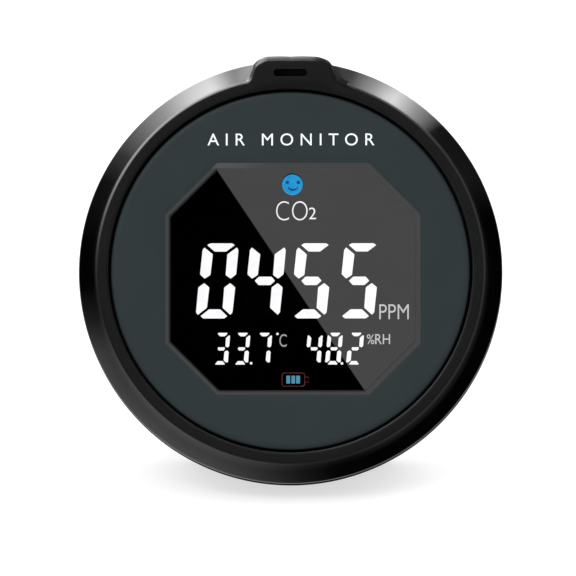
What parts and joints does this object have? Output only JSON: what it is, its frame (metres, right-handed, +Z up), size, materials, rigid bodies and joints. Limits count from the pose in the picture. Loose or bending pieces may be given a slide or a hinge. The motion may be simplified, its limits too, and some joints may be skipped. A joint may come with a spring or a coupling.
{
  "type": "carbon dioxide monitor",
  "caption": "Round desk carbon dioxide monitor: black rim with a strap tab, slate face, octagonal segment display, vented back with fold-out stand, side power button and charging port.",
  "frame": {"origin": "middle of the footprint box, on the floor plane, with the stand open and the case leaning back 22 degrees", "axes": "+Z up, +Y towards the back, +X to the right as seen from the front"},
  "size_m": [0.08, 0.0576, 0.0797],
  "materials": {
    "case_gloss_black": "polished black ABS, glossy sloped rim and satin flat ring",
    "face_slate": "fine satin slate-grey printed plate",
    "lens_smoke": "polished smoked acrylic, almost black",
    "cover_black": "fine spark-eroded texture, matt black ABS",
    "mask_black": "matt black film with clear windows",
    "icon_blue": "translucent cyan-blue filter",
    "icon_battery": "translucent pale-blue filter with a dark red outline",
    "diffuser_white": "milky diffusing film",
    "white_plastic": "white moulded reflector plastic",
    "board_white": "white solder mask",
    "board_green": "green solder mask",
    "board_blue": "blue solder mask",
    "chip_black": "moulded epoxy",
    "header_black": "black nylon",
    "ferrite_grey": "dull ferrite",
    "sensor_white": "white sensor package",
    "chamber_gold": "gold-plated moulded optical chamber",
    "membrane_white": "white filter membrane",
    "tape_white": "double-sided tape",
    "cell_foil": "aluminium laminate pouch",
    "connector_ivory": "ivory nylon",
    "wire_red": "silicone insulation",
    "wire_black": "silicone insulation",
    "steel_nickel": "nickel-plated steel",
    "screw_steel": "zinc-nickel plated steel",
    "switch_ivory": "ivory actuator",
    "button_black": "satin black button cap",
    "mesh_grey": "woven nylon dust mesh",
    "pad_rubber": "moulded rubber"
  },
  "bodies": {
    "case": {"front_bezel": "case_gloss_black", "face_plate_tape": "tape_white", "face_plate": "face_slate", "window_lens": "lens_smoke", "display_mask": "mask_black", "smiley_icon_filter": "icon_blue", "battery_icon_filter": "icon_battery", "segment_diffuser": "diffuser_white", "display_reflector": "white_plastic", "led_board": "board_white", "display_header": "header_black", "main_board": "board_green", "controller_chip": "chip_black", "display_driver_chip": "chip_black", "charger_chip": "chip_black", "power_inductor": "ferrite_grey", "buzzer": "header_black", "humidity_sensor": "sensor_white", "co2_sensor_header": "header_black", "co2_sensor_board": "board_blue", "co2_sensor_chamber": "chamber_gold", "co2_sensor_membrane": "membrane_white", "battery_tape": "tape_white", "battery_cell": "cell_foil", "battery_connector": "connector_ivory", "battery_lead_red": "wire_red", "battery_lead_black": "wire_black", "usb_receptacle": "steel_nickel", "power_switch": "chip_black", "rear_cover": "cover_black", "foot_pad_left": "pad_rubber", "foot_pad_right": "pad_rubber", "vent_mesh_right": "mesh_grey", "vent_mesh_left": "mesh_grey", "case_screw_1": "screw_steel", "case_screw_2": "screw_steel", "case_screw_3": "screw_steel", "case_screw_4": "screw_steel", "stand_pin": "steel_nickel"},
    "stand": {"stand_leg": "cover_black"},
    "button": {"power_button": "button_black", "switch_plunger": "switch_ivory"}
  },
  "joints": [
    {"name": "stand_hinge", "type": "hinge", "parent": "case", "child": "stand", "pos_m": [0, 0.01564, 0.04913], "axis": [1, 0, 0], "range_deg": [-35, 0]},
    {"name": "button_press", "type": "slide", "parent": "case", "child": "button", "axis": [-1, 0, 0], "range_m": [0, 0.0005], "stiffness_N_per_m": 50, "springref_m": -0.001}
  ]
}
